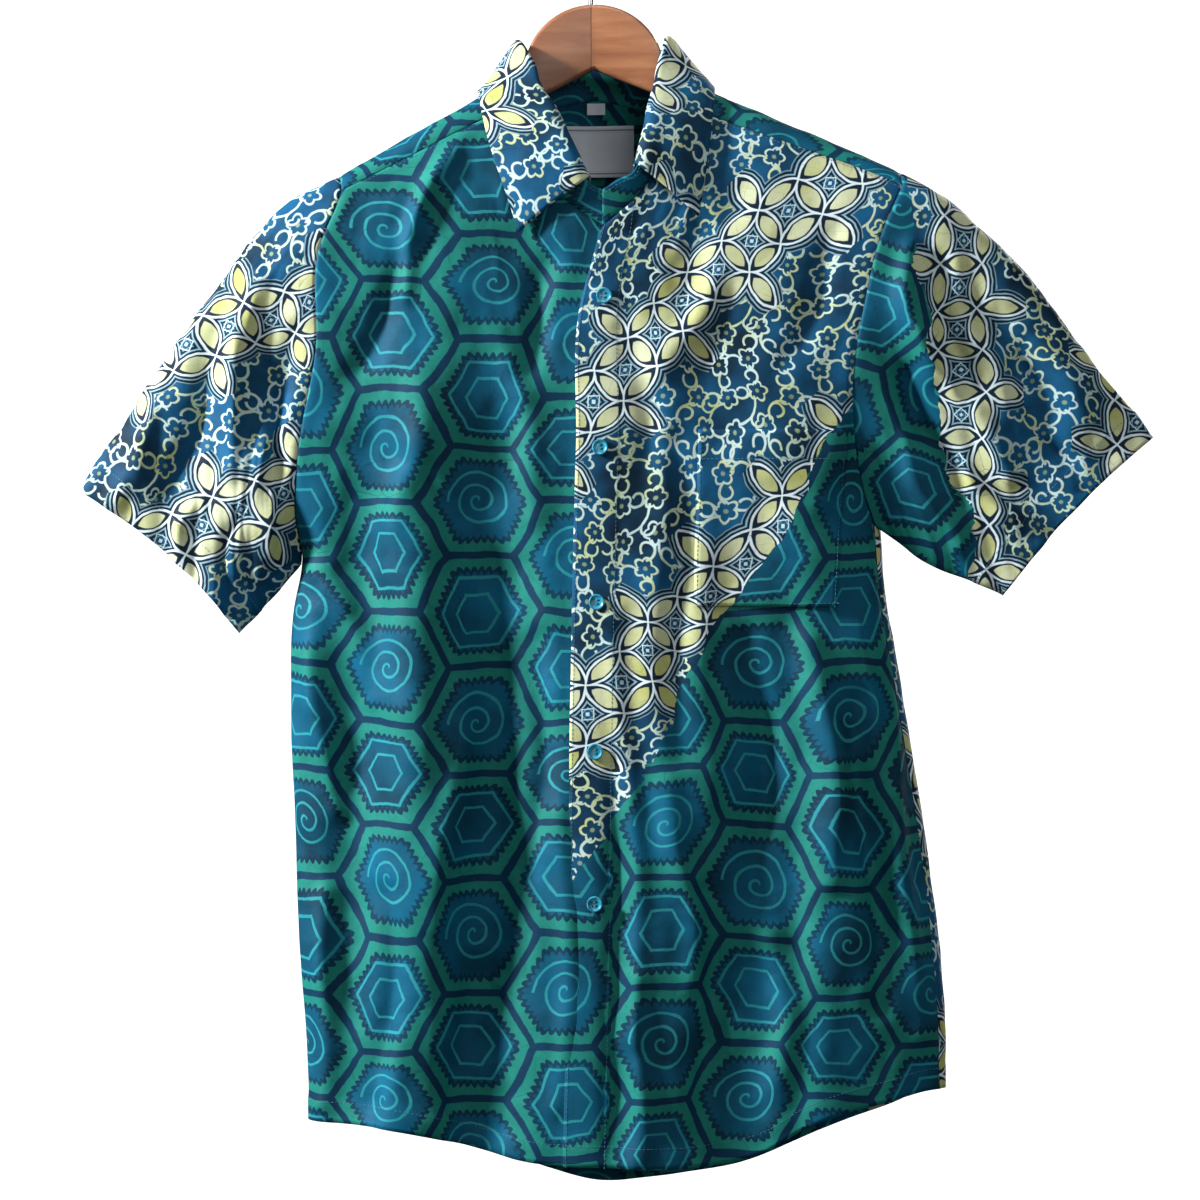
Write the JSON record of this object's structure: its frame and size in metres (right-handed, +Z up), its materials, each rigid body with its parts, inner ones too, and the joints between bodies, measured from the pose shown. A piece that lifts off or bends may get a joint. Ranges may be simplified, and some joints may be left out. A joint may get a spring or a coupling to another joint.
{
  "type": "short-sleeved batik shirt on a wooden hanger",
  "caption": "Short-sleeved button-front batik shirt with a turned-down collar and a chest pocket, hanging open at the neck on a contoured wooden hanger.",
  "frame": {"origin": "inside top of the hook's bend, where a rail holds the hanger", "axes": "+Z up, -Y towards the shirt's front, +X towards the wearer's left"},
  "size_m": [0.7698, 0.0979, 0.916],
  "materials": {
    "hexagon_batik": "smooth cotton, teal and blue hexagons with pale spiral lines",
    "floral_batik": "smooth cotton, cream petals and vines on dark blue",
    "back_batik": "smooth cotton, hexagons on one side and petals and vines on the other",
    "woven_label": "woven satin label",
    "button_resin": "semi-gloss teal",
    "hanger_wood": "satin varnished",
    "hook_wire": "bright plated"
  },
  "bodies": {
    "root": {"front_right": "hexagon_batik", "front_left": "floral_batik", "back": "back_batik", "yoke": "hexagon_batik", "sleeve_right": "floral_batik", "sleeve_left": "floral_batik", "collar_stand": "hexagon_batik", "collar_leaf": "floral_batik", "pocket": "floral_batik", "neck_label": "woven_label", "size_tab": "woven_label", "button_1": "button_resin", "button_2": "button_resin", "button_3": "button_resin", "button_4": "button_resin", "button_5": "button_resin", "hanger": "hanger_wood", "hook": "hook_wire"}
  },
  "joints": []
}
